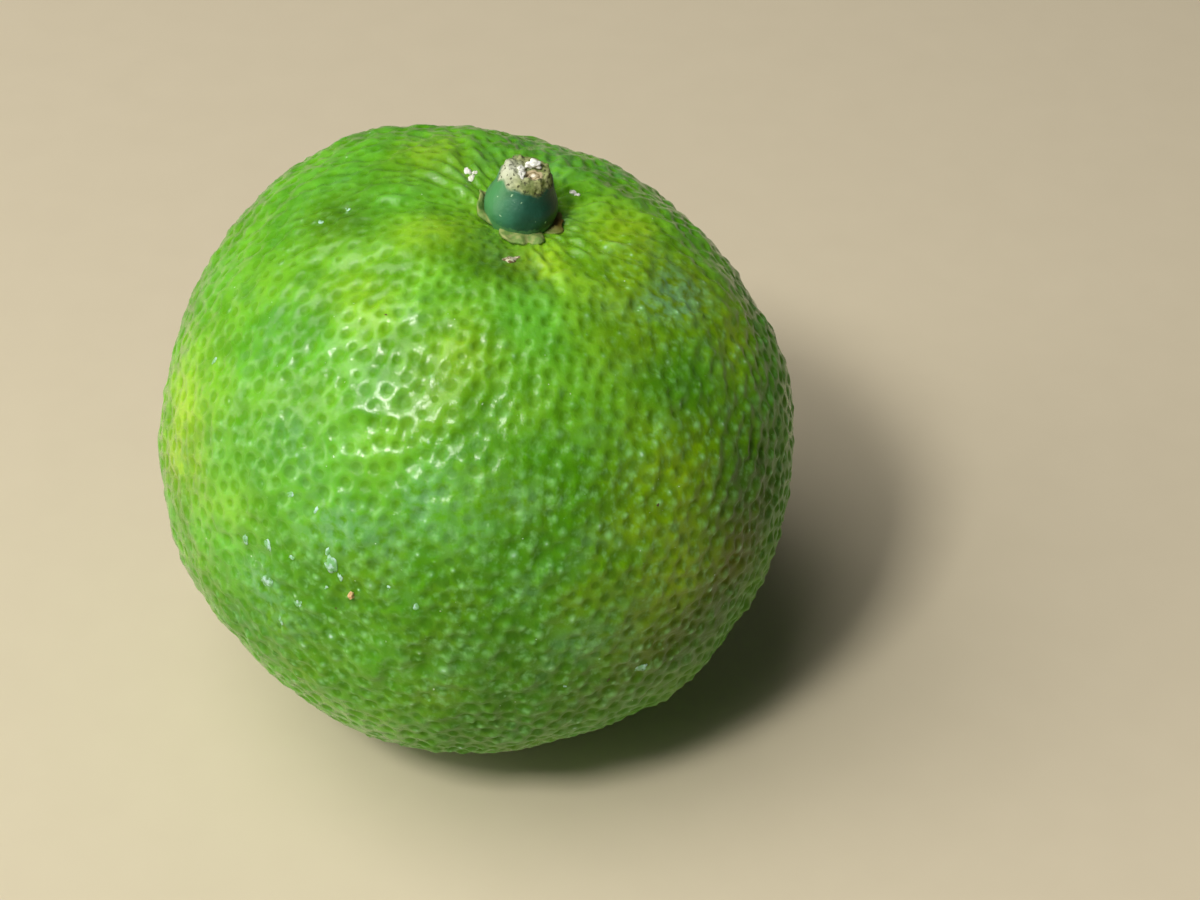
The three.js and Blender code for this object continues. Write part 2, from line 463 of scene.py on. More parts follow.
squeeze = 0.55 + 0.45 * smooth_step(stem_arc, 2.0, 12.0)  # relief is shallower by the stem
away_from_lump = 1 - 0.75 * bell(np.linalg.norm(rind_ways - STEM_SWELLING, axis=1), 0.16)
skin_points = rind_ways * WAIST
knobbly = patches(
    rind_ways,
    [
        (275, 92, 38, 1.2),  # low in front
        (236, 90, 20, 0.5),  # low on the left
        (318, 70, 32, 1.0),  # right
        (335, 30, 14, 0.5),  # right shoulder
        (20, 100, 40, 0.6),  # back right
        (130, 70, 30, 0.5),  # back left
    ],
)
knobbly = np.clip(knobbly + 0.15 * waves(skin_points, 9.0), 0, 1)
knobs = bell(knob_distance, 1.05 * knob_radius[near_knob]).sum(axis=1)
from_front = np.abs((np.degrees(stem_turn) - FRONT + 180) % 360 - 180)
gathers = pleats(stem_turn, stem_arc, 40, 0.7) * away_from_lump * (1 - 0.8 * bell(from_front, 45))
soft_cheek = 1 - patches(rind_ways, [(196, 72, 22, 0.4), (328, 82, 22, 0.6), (225, 98, 14, 0.4)])
pitted = squeeze * away_from_lump * soft_cheek * (1 - 0.5 * knobbly)
print("knobbly share:", np.round(knobbly.mean(), 2))

# %% [markdown]
# Swells of four lengths, from 1 to 9 mm, go over everything, because no skin is even. The blossom
# end, out of sight underneath, has the small sunken scar that the flower leaves, with a low rim.

# %% Relief of the rind
KNOB_RISE = 0.20  # mm
GATHER_RISE = 0.11
SCAR_DEPTH, SCAR_WIDTH = 0.4, 1.1
SCAR_RIM, SCAR_RIM_RISE = 1.5, 0.07  # distance of the rim from the blossom end, and its height

relief = gland_relief(near_gland, near_distance) * pitted
relief += KNOB_RISE * knobs * (0.10 + 0.90 * knobbly) * squeeze
relief += 0.028 * waves(pattern_ways * WAIST, 1.0, 80) * squeeze
relief += 0.038 * waves(pattern_ways * WAIST, 2.2, 60) * squeeze
relief += 0.045 * waves(skin_points, 4.5)
relief += 0.035 * waves(skin_points, 9.0)
relief += GATHER_RISE * gathers
blossom_arc = np.pi * WAIST - stem_arc
relief += SCAR_RIM_RISE * bell(blossom_arc - SCAR_RIM, 0.4)
relief -= SCAR_DEPTH * bell(blossom_arc, SCAR_WIDTH)
rind_points = placed(rind_ways * (skin_radius(rind_ways) + relief)[:, None])
print("relief, mm:", np.round([relief.min(), relief.max()], 2))

# %% [markdown]
# The fruit has lain on one side long enough to have a small flat spot. A hard cut there would
# leave an edge that a soft fruit doesn't have, so heights near zero are eased into the floor.

# %% Rest it on its flat spot
FLAT_EASE = 0.07  # mm
rind_points[:, 2] = FLAT_EASE * np.logaddexp(0.0, rind_points[:, 2] / FLAT_EASE)
print("rind, mm:", np.round(rind_points.max(axis=0) - rind_points.min(axis=0), 2))

# %% [markdown]
# ## The finish of the rind
# Citrus rind is a thin layer of natural wax over green tissue. The wax gives small sharp glints,
# and the tissue under it a softer sheen. The glands are full of oil, so they look deeper and more
# saturated than the walls between them. Ripening yellows the skin in patches, some of it stays a
# deep green, and a dry bloom greys it in others. The deep patches on the right and low side are
# also painted shade. The patches are worked out here as attributes of the mesh, because they
# belong to places on this fruit, which no even pattern could find.

# %% Where it is ripe and where it has bloom
ripe = patches(
    rind_ways,
    [
        (195, 77, 12, 0.65),  # left edge
        (206, 84, 9, 0.4),
        (258, 42, 9, 0.4),  # below the stem
        (227, 38, 8, 0.25),  # upper left
        (212, 32, 16, 0.22),
        (0, 0, 17, 0.35),  # round the stem
        (3, 21, 9, 0.5),
        (287, 15, 5, 0.5),
        (212, 20, 7, 0.3),  # the swelling by the stem
        (135, 25, 8, 0.4),  # top
        (345, 36, 9, 0.5),  # right shoulder
        (341, 48, 8, 0.6),
        (319, 27, 14, 0.5),
        (303, 58, 14, 0.6),  # right cheek
        (312, 66, 8, 0.3),
        (304, 77, 12, 0.6),
        (321, 80, 10, 0.7),
        (303, 90, 12, 0.4),
        (70, 95, 22, 0.5),  # back
        (120, 120, 14, 0.4),
    ],
)
# Deep green patches. Those on the right edge, low on the right and low in front are painted shade.
deep = patches(
    rind_ways,
    [
        (0, 0, 9, 0.35),  # round the stem
        (257, 17, 7, 0.9),  # in front of it
        (184, 31, 8, 0.4),  # upper left
        (158, 20, 7, 0.3),
        (338, 34, 7, 0.5),  # right of the stem
        (310, 45, 9, 0.55),  # right
        (325, 66, 8, 1.0),  # right edge
        (326, 75, 8, 1.0),
        (318, 88, 12, 1.0),
        (300, 97, 14, 0.8),  # low on the right
        (273, 104, 16, 0.5),  # low in front
        (30, 80, 20, 0.6),  # back right
        (150, 110, 18, 0.3),
    ],
)
bloom = patches(
    rind_ways,
    [
        (337, 33, 6, 1.0),  # right of the stem
        (323, 31, 4, 0.8),
        (240, 71, 6, 0.8),  # low on the left
        (249, 71, 5, 0.7),
        (269, 60, 7, 0.5),
        (257, 62, 7, 0.6),
        (229, 61, 5, 0.6),
        (232, 92, 8, 0.7),
        (291, 86, 8, 0.5),
        (70, 26, 9, 0.5),  # back
        (100, 60, 14, 0.5),
        (20, 110, 14, 0.5),
    ],
)
# Painted sheen on the tops of the gathers, as if they caught the light.
dashes = 0.8 * smooth_step(gathers, 0.5, 1.6)
scar = 1 - smooth_step(blossom_arc + 0.15 * waves(skin_points, 0.9), 0.9, 1.3)
ripe = np.clip(ripe + 0.08 * waves(skin_points, 6.0), 0, 1)
deep = np.clip(deep + 0.12 * waves(skin_points, 8.0), 0, 1)
bloom = np.clip(bloom + 0.14 * waves(skin_points, 3.5) - 0.05, 0, 1)
for label, share in (("ripe", ripe), ("deep green", deep), ("with bloom", bloom)):
    print("share of the rind", label, round(float(share.mean()), 2))

# %% [markdown]
# A bump or a colour that follows the points of the mesh can be no sharper than their spacing. So
# each face also carries the place and size of its own gland and knob, and the shader works out the
# exact distance from them, which draws every one as a clean round spot.

# %% Each face's own gland and knob
def face_middles(points, faces):
    """The mean of each face's corners."""
    return points[faces].mean(axis=1)


face_gland = nearest_of(glands, face_middles(pattern_ways, rind_faces), kept=1)[0][:, 0]
gland_way = real_way(glands)
gland_arc = WAIST * np.arccos(np.clip(gland_way[:, 2], -1, 1))
drawn_in = np.sin(gland_arc / WAIST) / np.sin(pattern_down(gland_arc / WAIST))
gland_place = placed(gland_way * (skin_radius(gland_way) - 0.7 * gland_depth)[:, None])
gland_reach = gland_radius * np.clip(drawn_in, 0.4, 1.0)

face_knob = nearest_of(knob_spots, face_middles(pattern_ways, rind_faces), kept=1)[0][:, 0]
knob_way = real_way(knob_spots)
knob_place = placed(knob_way * (skin_radius(knob_way) - 0.03)[:, None])
knob_reach = knob_radius * np.clip(drawn_in, 0.4, 1.0)

# %% Spots of the waxy rind
rind_finish, tree = new_material("waxy_citrus_rind")
place = add_node(tree, "TexCoord", output="Object")
pattern = add_node(tree, "Attribute", output="Vector", attribute_name="pattern")
knobbly_here, ripeness, deep_here, bloom_here, dashes_here, scar_here = [
    add_node(tree, "Attribute", output="Fac", attribute_name=name)
    for name in ("knobbly", "ripe", "deep", "bloom", "dashes", "scar")
]


def share_of_reach(tree, place, spot):
    """Distance from the face's own spot, over the reach of that spot."""
    middle = add_node(tree, "Attribute", output="Vector", attribute_name=spot + "_place")
    reach = add_node(tree, "Attribute", output="Fac", attribute_name=spot + "_reach")
    away = add_node(tree, "VectorMath", [place, middle], "Value", operation="DISTANCE")
    return add_node(tree, "Math", [away, reach], operation="DIVIDE")


gland_share = share_of_reach(tree, place, "gland")
in_gland = add_node(tree, "MapRange", [gland_share, 0.55, 1.15, 1.0, 0.0], **SMOOTH)
bowl = add_node(tree, "MapRange", [gland_share, 0.1, 1.3, 1.0, 0.0], **SMOOTH)
# Noise added to the distance makes the edge of a knob ragged.
raggedness = grain(tree, 0.6, 1.5, place=pattern)
knob_share = share_of_reach(tree, place, "knob")
ragged = add_node(tree, "Math", [knob_share, raggedness], operation="ADD")
knob = add_node(tree, "MapRange", [ragged, 0.4, 1.6, 1.0, 0.0], **SMOOTH)
top = add_node(tree, "MapRange", [ragged, 0.35, 0.95, 0.9, 0.0], **SMOOTH)

# %% [markdown]
# The colour is built up in layers, each mixed over the last: walls and glands, mottling, the deep
# patches, partly painted shade, and the dry patches, and then the pale parts, which are painted
# sheen and glints on the knobs and the gathers.
# All of them are one material, since wax and tissue run into each other without an edge.

# %% Greens of the waxy rind
# Walls are milky with wax, and the oil in a gland shows as a purer green spot.
wall_colour = layered(tree, "#6cb832", (ripeness, "#a6cc24"))
# Darker greens on the knobbly side, partly painted shade where it faces away from the light.
smooth_green = layered(tree, "#549204", (ripeness, "#86a804"))
wall_colour = layered(tree, wall_colour, (knobbly_here, smooth_green))
gland_colour = layered(tree, "#5aa004", (ripeness, "#8ab402"))
shaded_green = layered(tree, "#3f7602", (ripeness, "#648402"))
gland_colour = layered(tree, gland_colour, (knobbly_here, shaded_green))
oil_share = add_node(tree, "Math", [in_gland, 0.85], operation="MULTIPLY")
# Mottling a few millimetres across breaks up the even green, as chlorophyll does.
mottle = blotches(tree, 2.4, 4.0, 0.40, 0.66, most=0.7)
mottle_green = layered(tree, "#4a9006", (ripeness, "#6c9a04"))
# Deep patches are a deeper green in places and painted shade on the right and low side, and
# bloom gives a bluish haze.
deep_share = add_node(tree, "Math", [deep_here, 0.8], operation="MULTIPLY")
deep_green = layered(tree, "#386a04", (ripeness, "#585c04"))
dry = blotches(tree, 0.6, 3.0, 0.35, 0.6)
dry = add_node(tree, "Math", [bloom_here, dry], operation="MULTIPLY")
dry_share = add_node(tree, "Math", [dry, 0.6], operation="MULTIPLY")
green = layered(
    tree,
    wall_colour,
    (oil_share, gland_colour),
    (mottle, mottle_green),
    (deep_share, deep_green),
    (dry_share, "#7ab280"),
)

# %% Painted sheen and glints on the waxy rind
smear = blotches(tree, 0.5, 2.0, 0.46, 0.86, most=0.8, place=pattern)
raised_skin = add_node(tree, "Math", [knob, smear], operation="MAXIMUM")
raised_skin = add_node(tree, "Math", [raised_skin, dashes_here], operation="MAXIMUM")
paleness = add_node(tree, "MapRange", [knobbly_here, 0.0, 1.0, 0.2, 0.72], **SMOOTH)
uneven = blotches(tree, 1.6, 2.0, 0.35, 0.6, least=0.45)
paleness = add_node(tree, "Math", [paleness, uneven], operation="MULTIPLY")
# Painted sheen: soft pale knobs and gather tops stand for light caught on them, and make the skin
# look raised in flat light.
pale_here = add_node(tree, "Math", [raised_skin, paleness], operation="MULTIPLY")
# Painted glints: some knobs have a nearly white top, which stands for a sparkle of light.
some = blotches(tree, 1.2, 1.0, 0.48, 0.6)
rubbed = add_node(tree, "Math", [top, some], operation="MULTIPLY")
rubbed = add_node(tree, "Math", [rubbed, knobbly_here], operation="MULTIPLY")
# Painted sparkles: a few pale specks a third of a millimetre across, which stand for tiny glints.
speck = blotches(tree, 0.3, 1.0, 0.79, 0.84, most=0.8)
skin_colour = layered(
    tree,
    green,
    (pale_here, "#96d488"),
    (rubbed, "#d2f0e2"),
    (scar_here, "#7a5c34"),
    (speck, "#d4ecd0"),
)

# %% [markdown]
# The gloss comes last. Wax is smooth, so a small light shows in it as sharp glints on the walls,
# broken up by a fine bump. In the glands and on the rubbed knobs the surface is duller. A thin,
# blurred coat over the smooth part gives the haze round a highlight. Light also goes into the
# rind and comes out about half a millimetre away, mostly the green part of it.

# %% Gloss of the waxy rind
height = add_node(tree, "Math", [grain(tree, 0.3, 3.0, 0.6), 0.04], operation="MULTIPLY")
bowl_depth = add_node(tree, "MapRange", [knobbly_here, 0.0, 1.0, 0.04, 0.01], **SMOOTH)
bowl_height = add_node(tree, "Math", [bowl, bowl_depth], operation="MULTIPLY")
height = add_node(tree, "Math", [height, bowl_height], operation="SUBTRACT")
pale_height = add_node(tree, "Math", [pale_here, 0.03], operation="MULTIPLY")
height = add_node(tree, "Math", [height, pale_height], operation="ADD")
wax = blotches(tree, 1.3, 2.0, 0.3, 0.7, 0.10, 0.20)
worn = add_node(tree, "MapRange", [knobbly_here, 0.0, 1.0, 0.0, 0.22], **SMOOTH)
roughness = add_node(tree, "Math", [wax, worn], operation="ADD")
dull = add_node(tree, "Math", [in_gland, 0.4], operation="MULTIPLY")
coat = add_node(tree, "MapRange", [knobbly_here, 0.0, 1.0, 0.48, 0.05], **SMOOTH)
on_wall = add_node(tree, "MapRange", [in_gland, 0.0, 1.0, 1.0, 0.0], **SMOOTH)
finish_material(
    tree,
    Base_Color=skin_colour,
    Roughness=add_node(tree, "Math", [roughness, dull], operation="ADD"),
    IOR=1.44,
    Subsurface_Weight=0.7,
    Subsurface_Radius=(0.7, 1.0, 0.25),
    Subsurface_Scale=0.45 * MM,
    Specular_IOR_Level=0.3,
    Coat_Weight=add_node(tree, "Math", [coat, on_wall], operation="MULTIPLY"),
    Coat_Roughness=0.3,
    Normal=add_node(tree, "Bump", {"Height": height, "Distance": MM, "Strength": 1.0}),
)

# %% Rind
rind = make_piece(
    "rind",
    rind_points,
    rind_faces.tolist(),
    rind_finish,
    ripe=ripe,
    deep=deep,
    bloom=bloom,
    dashes=dashes,
    scar=scar,
    pattern=pattern_ways * WAIST * MM,
    knobbly=knobbly,
    gland_place=gland_place[face_gland] * MM,
    gland_reach=gland_reach[face_gland] * MM,
    knob_place=knob_place[face_knob] * MM,
    knob_reach=knob_reach[face_knob] * MM,
)
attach(rind, "root")
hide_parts("fruit")

# %% [markdown]
# ## The calyx
# The calyx is what is left of the flower's green cup: a disc of five blunt lobes, dry and papery,
# pressed on the rind round the foot of the stem. It is made as a thin dish over the skin. A lobe
# that has dried from one side curls up against the stem.

# %% Calyx
GUESSES = 6


def skin_height(across):
    """Height of the smooth skin above the heart over points across the stem axis, in mm: a few
    guesses, each closer than the last."""
    height = np.full(len(across), WAIST)
    for guess in range(GUESSES):
        ways = np.column_stack([across, height])
        ways /= np.linalg.norm(ways, axis=1, keepdims=True)
        height = np.sqrt(skin_radius(ways) ** 2 - (across**2).sum(axis=1))
    return height


def angle_apart(first, second):
    """The smaller of the two angles between directions round the stem, in degrees."""
    return np.abs((first - second + 180) % 360 - 180)


NOTCHES = [  # angle round the stem, depth in mm, width in degrees
    (25, 0.9, 9),
    (80, 0.8, 10),
    (137, 0.7, 9),
    (224, 1.1, 18),
    (314, 1.1, 8),
]
CALYX_REACH = 2.98  # mm from the stem axis
CALYX_THICKNESS = 0.34  # mm in the middle
SUNK = 0.05  # mm into the rind
CURLED_LOBE, BROWN_LOBE = 172, 352  # degrees round the stem

calyx_turn = np.arange(0, 360, 2.5)
calyx_reach = CALYX_REACH - 0.3 * bell(angle_apart(calyx_turn, 355), 30)
for notch, cut, width in NOTCHES:
    calyx_reach -= cut * bell(angle_apart(calyx_turn, notch), width)
calyx_reach += 0.08 * waves(toward(calyx_turn, 90) * 3, 0.9)
# Rings run out over the top, round the rim, and back in underneath.
shares = np.array([0.3, 0.5, 0.66, 0.78, 0.88, 0.95, 1.0])
rim_out = np.concatenate([shares, [1.0], shares[::-1]])
upper = np.concatenate([np.ones(len(shares)), [0.5], np.zeros(len(shares))])
thick = CALYX_THICKNESS * (1 - 0.55 * rim_out**3)
share_grid = rim_out[:, None] * np.ones_like(calyx_turn)
reach_grid = share_grid * calyx_reach
flat = toward(calyx_turn, 90)[None, :, :2] * reach_grid[..., None]
curl = bell(angle_apart(calyx_turn, CURLED_LOBE), 26) * smooth_step(share_grid, 0.55, 1.0)
flat = flat * (1 - 0.13 * curl)[..., None]
level = skin_height(flat.reshape(-1, 2)).reshape(share_grid.shape) - SUNK
level += upper[:, None] * thick[:, None] + 1.0 * curl
crinkle = waves(np.dstack([flat, 0 * level]).reshape(-1, 3), 0.8).reshape(level.shape)
level += 0.05 * crinkle * share_grid
calyx_rings = np.dstack([flat, level])
centre = skin_height(np.zeros((1, 2)))[0]
calyx_points, calyx_faces = close_rings(
    calyx_rings, [0.0, 0.0, centre + 0.3], [0.0, 0.0, centre - SUNK]
)
print("calyx, mm across:", np.round(2 * calyx_reach.mean(), 1))

# %% Dry calyx
# Blotches of tan on dull green, with no shine at all, set the papery lobes off from the wax.
calyx_finish, tree = new_material("dry_green_calyx")
brown_here = add_node(tree, "Attribute", output="Fac", attribute_name="brown")
tan = blotches(tree, 0.5, 4.0, 0.35, 0.65)
finish_material(
    tree,
    Base_Color=layered(tree, "#6f8f44", (tan, "#9aa262"), (brown_here, "#74601e")),
    Roughness=0.72,
    IOR=1.45,
    Normal=roughened(tree, 0.2, 3.0, 0.06),
)
brown = np.tile(bell(angle_apart(calyx_turn, BROWN_LOBE), 28), len(rim_out))
brown = np.append(brown, [0.0, 0.0])
calyx = make_piece("calyx_lobes", placed(calyx_points), calyx_faces, calyx_finish, brown=brown)
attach(calyx, "root")
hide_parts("calyx")

# %% [markdown]
# ## The stem stub
# The end of the stem swells where it meets the fruit. Its skin is green and smooth, with a few
# pale pores. Clippers have cut it off, and the skin has shrunk back a little from the cut, which
# shows a collar of dry bark, the ring of wood in it, and the pith. It is a profile turned round
# the stem axis, and then each ring is bent, swollen and roughened by rules of its own.

# %% Stem stub
STUB = [  # height over the skin in mm, and radius
    (-0.40, 1.92),
    (0.10, 2.04),
    (0.45, 2.17),
    (0.85, 2.24),
    (1.30, 2.22),
    (1.75, 2.08),
    (2.15, 1.88),
    (2.50, 1.74),
    (2.80, 1.66),
    (3.10, 1.60),
    (3.35, 1.52),
    (3.50, 1.36),
    (3.54, 1.14),
    (3.48, 0.90),
    (3.42, 0.66),
    (3.40, 0.42),
    (3.40, 0.20),
]
STUB_RINGS = 48
SKIN_EDGE = 2.75  # mm, where the green skin ends
STUB_TOP = 3.6  # mm over the skin
CUT_SLOPE = 0.07  # fall of the cut to the back
STUB_BEND = 0.25  # mm that the cut lies back from the stem axis
stub_heights, stub_radii = np.array(STUB).T
steps_along = np.linspace(0, len(STUB) - 1, STUB_RINGS)
knots = np.arange(len(STUB))
side_height = np.interp(steps_along, knots, stub_heights)[::-1]
side_radius = np.interp(steps_along, knots, stub_radii)[::-1]
# A weighted mean of five neighbours rounds the corners of the profile.
weights = np.array([1, 3, 4, 3, 1]) / 12
side_height = np.convolve(np.pad(side_height, 2, mode="edge"), weights, mode="valid")
side_radius = np.convolve(np.pad(side_radius, 2, mode="edge"), weights, mode="valid")
stub_turn = np.arange(0, 360, 5.0)
out_way = toward(stub_turn, 90)[None, :, :2]
ring_height = side_height[:, None] * np.ones_like(stub_turn)
stub_flat = out_way * (side_radius[:, None] * np.ones_like(stub_turn))[..., None]
stub_points = np.dstack([stub_flat, ring_height])
lumps = waves(stub_points.reshape(-1, 3), 1.6).reshape(ring_height.shape)
crust = waves(stub_points.reshape(-1, 3), 0.45, 60).reshape(ring_height.shape)
skin_edge = SKIN_EDGE + 0.14 * waves(toward(stub_turn, 90) * 2, 1.2)
bare = smooth_step(ring_height - skin_edge, 0.0, 0.12)
rough_end = smooth_step(ring_height, 3.15, 3.45)
stub_flat = stub_flat * (1 + 0.012 * lumps + 0.03 * crust * bare - 0.07 * bare)[..., None]
raised = np.clip(ring_height / STUB_TOP, 0, 1)
# The rim of the bark is higher on the left and worn down in front.
crust_side = 0.12 * bell(angle_apart(stub_turn, 180), 50)
crust_side -= 0.16 * bell(angle_apart(stub_turn, 290), 60)
ring_height = ring_height + (0.05 * crust + crust_side) * rough_end
ring_height = ring_height - CUT_SLOPE * stub_flat[..., 1] * raised**2
stub_flat[..., 1] += STUB_BEND * raised**2
stub_rings = np.dstack([stub_flat, ring_height + centre])
stub_points, stub_faces = close_rings(
    stub_rings, [0.0, 0.25, centre + 3.36], [0.0, 0.0, centre - 0.45]
)
print("stem stub, mm across:", np.round(2 * side_radius.max(), 2))

# %% [markdown]
# Stem skin is a blue green, painted paler on the side towards the light and darker on the side
# away from it, and paler at the foot. The bark above it is olive with cream patches and dark
# specks. The wood is drawn as rings by the distance from its middle: a pale core, tan wood, and a
# dark line round it.

# %% Stem finish
# Satin skin under chalky bark: the change of gloss shows where the skin ends.
stem_finish, tree = new_material("green_stem_skin_and_bark")
height, pale_side, dark_side, cream, is_bark = [
    add_node(tree, "Attribute", output="Fac", attribute_name=name)
    for name in ("height", "pale_side", "dark_side", "cream", "bare")
]
uneven = add_node(tree, "Math", [grain(tree, 0.3), 0.7], operation="MULTIPLY")
foot = add_node(tree, "Math", [height, uneven], operation="ADD")
foot_share = add_node(tree, "MapRange", [foot, 0.80, 1.10, 0.7, 0.0], **SMOOTH)
stem_skin = layered(
    tree,
    "#184a3c",
    (blotches(tree, 1.1, 4.0, 0.3, 0.7), "#2c6656"),
    # Painted light and shade: paler on the side towards the light, darker on the side away from it.
    (pale_side, "#4f9556"),
    (dark_side, "#113c28"),
    (foot_share, "#5f9a62"),
    (blotches(tree, 0.3, 1.0, 0.72, 0.78), "#9cbf98"),  # pores
)
bark = layered(
    tree,
    "#6f7c3e",
    (blotches(tree, 0.4, 3.0, 0.4, 0.6), "#9aa168"),
    (cream, "#c8ccb4"),
    (blotches(tree, 0.24, 2.0, 0.57, 0.64, most=0.85), "#3c3f26"),
)

# %% Wood on the cut
WOOD_MIDDLE = placed(np.array([[0.36, -0.32, centre + 3.33]]))[0] * MM
WOOD_RING = 0.36 * MM  # radius of the dark line
place = add_node(tree, "TexCoord", output="Object")
ends = [place, WOOD_MIDDLE.tolist()]
from_wood = add_node(tree, "VectorMath", ends, "Value", operation="DISTANCE")
from_ring = add_node(tree, "Math", [from_wood, WOOD_RING], operation="SUBTRACT")
from_ring = add_node(tree, "Math", [from_ring], operation="ABSOLUTE")
spans = [
    (from_wood, 0.10, 0.20),  # round the pale core
    (from_ring, 0.02, 0.07),  # beside the dark line
    (from_wood, 0.52, 0.60),  # beyond the wood
]
past_core, off_line, past_wood = [
    add_node(tree, "MapRange", [away, near * MM, far * MM, 0.0, 1.0], **SMOOTH)
    for away, near, far in spans
]
wood = layered(tree, "#ece6d2", (past_core, "#b9aa86"))
wood = layered(tree, "#857654", (off_line, wood))
bark_and_wood = layered(tree, wood, (past_wood, bark))
finish_material(
    tree,
    Base_Color=layered(tree, stem_skin, (is_bark, bark_and_wood)),
    Roughness=add_node(tree, "MapRange", [is_bark, 0.0, 1.0, 0.42, 0.85], **SMOOTH),
    IOR=1.45,
    Normal=roughened(
        tree, 0.25, 4.0, add_node(tree, "MapRange", [is_bark, 0.0, 1.0, 0.03, 0.12], **SMOOTH)
    ),
)

# %% Stem piece
stub_angle = np.degrees(np.arctan2(stub_points[:, 1], stub_points[:, 0]))
stub = make_piece(
    "stem_stub_skin",
    placed(stub_points),
    stub_faces,
    stem_finish,
    height=stub_points[:, 2] - centre,
    bare=np.append(bare.ravel(), [1.0, 0.0]),
    cream=bell(np.linalg.norm(stub_points[:, :2] - [-1.1, -0.1], axis=1), 1.0),
    pale_side=0.8 * bell(angle_apart(stub_angle, 195), 45),
    dark_side=bell(angle_apart(stub_angle, 340), 62),
)
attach(stub, "root")
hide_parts("stem_stub")

# %% [markdown]
# Where the clippers cut, soft white fibres of the pith stand up as torn tufts. Each tuft is a
# small ball pushed out of shape by waves, so that it catches the light on its own facets.

# %% Torn fibres on the cut
LUMP_STEPS = 10


def lump(middle, size, roughness, wave):
    """A ball with half sizes in mm along the fruit's own axes, its radius changed by waves."""
    ways, faces = cube_ball(LUMP_STEPS)
    swell = 1 + roughness * waves(ways, wave)
    return ways * swell[:, None] * size + middle, faces.tolist()


def joined(bodies):
    """One list of points and faces from several bodies."""
    starts = np.cumsum([0] + [len(points) for points, faces in bodies])
    points = np.concatenate([points for points, faces in bodies])
    faces = []
    for start, (_, part) in zip(starts, bodies):
        faces += [[int(start) + number for number in face] for face in part]
    return points, faces


tufts = [
    lump([0.40, 0.42, centre + 3.68], [0.40, 0.26, 0.26], 0.16, 0.9),
    lump([0.12, 0.50, centre + 3.55], [0.24, 0.20, 0.20], 0.16, 0.9),
    lump([-0.34, -0.42, centre + 3.42], [0.26, 0.40, 0.26], 0.14, 0.9),
    lump([-0.40, 0.05, centre + 3.50], [0.20, 0.24, 0.18], 0.16, 0.9),
]

# %% Torn pith
# Nearly white and quite dull, they are the brightest thing on the fruit.
fibre, tree = new_material("torn_white_pith_fibre")
finish_material(
    tree,
    Base_Color=layered(tree, "#c9ccc0", (blotches(tree, 0.25, 3.0, 0.35, 0.65), "#f2f1ec")),
    Roughness=0.8,
    IOR=1.45,
    Normal=roughened(tree, 0.15, 3.0, 0.08),
)
tuft_points, tuft_faces = joined(tufts)
pith = make_piece("torn_pith_fibres", placed(tuft_points), tuft_faces, fibre)
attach(pith, "root")

# %% [markdown]
# ## Residue on the rind
# A fruit from the tree carries small things that have dried on it: crusts near the stem, pale
# scuffs where the wax has flaked, a crumb of bark. Each is a thin patch that follows the rind
# under it, with a ragged outline, and is thickest in the middle. They are pieces of their own, not
# paint, because their edges catch the light.

# %% Patches that follow the rind
def rind_radius(ways):
    """Distance from the heart to the rind with its relief: the smooth skin's, plus the relief of
    the nearest point of the mesh."""
    nearest = (ways.astype(np.float32) @ rind_ways.T.astype(np.float32)).argmax(axis=1)
    return skin_radius(ways) + relief[nearest]


FLAKE_RINGS = [  # share of the way to the edge, and height over the rind in thicknesses
    (0.30, 1.0),
    (0.60, 0.8),
    (0.85, 0.45),
    (1.00, 0.1),
    (0.90, -1.5),
]


def flake(turn, down, long, wide, spin, thick):
    """A ragged patch on the rind at an angle round the stem and an angle down from it. Rings of an
    uneven ellipse, long by wide mm and spun by an angle, lie over the rind, and the underside is
    sunk in it."""
    out = toward(turn, down)
    east = toward(turn + 90, 90)
    north = np.cross(out, east)
    angle = np.radians(np.arange(0, 360, 20))
    edge = 1 + 0.13 * waves(toward(np.degrees(angle), 90) * 2, 2.2)
    share, rise = np.array(FLAKE_RINGS).T[..., None]
    along = share * edge * np.cos(angle) * long / 2
    aside = share * edge * np.sin(angle) * wide / 2
    spin = np.radians(spin)
    right = along * np.cos(spin) - aside * np.sin(spin)
    up = along * np.sin(spin) + aside * np.cos(spin)
    ways = out + (right[..., None] * east + up[..., None] * north) / WAIST
    ways = ways.reshape(-1, 3)
    ways /= np.linalg.norm(ways, axis=1, keepdims=True)
    height = thick * rise * np.ones_like(angle)
    height = height.ravel() * (1 + 0.3 * waves(ways * WAIST, 0.35))
    rings = ways * (rind_radius(ways) + height)[:, None]
    ends = out * (rind_radius(out[None]) + thick * rise[[0, -1]])
    return close_rings(rings.reshape(len(FLAKE_RINGS), -1, 3), ends[0], ends[1])


def on_rind(name, bodies, finish):
    """One piece of patches or lumps that lie on the rind."""
    points, faces = joined(bodies)
    return make_piece(name, placed(points), faces, finish)


# %% Crusts beside the stem
# Chalky and greenish white, they repeat the look of the cut on the rind beside it.
crusts = [
    (129, 15.6, 0.75, 0.5, 60, 0.13),  # beside the stem, left and right
    (131, 13.9, 0.5, 0.4, 10, 0.11),
    (126, 14.4, 0.35, 0.3, 10, 0.10),
    (43, 14.6, 0.6, 0.45, -30, 0.11),
    (37, 14.0, 0.5, 0.35, -30, 0.09),
    (75, 47, 0.5, 0.4, 20, 0.09),  # on the back
]
white_crust, tree = new_material("dried_white_crust")
shade = layered(tree, "#bcc4a8", (blotches(tree, 0.3, 3.0, 0.35, 0.6), "#eceae4"))
finish_material(tree, Base_Color=shade, Roughness=0.75, IOR=1.45)
crust_piece = on_rind("dried_crusts", [flake(*each) for each in crusts], white_crust)
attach(crust_piece, "root")

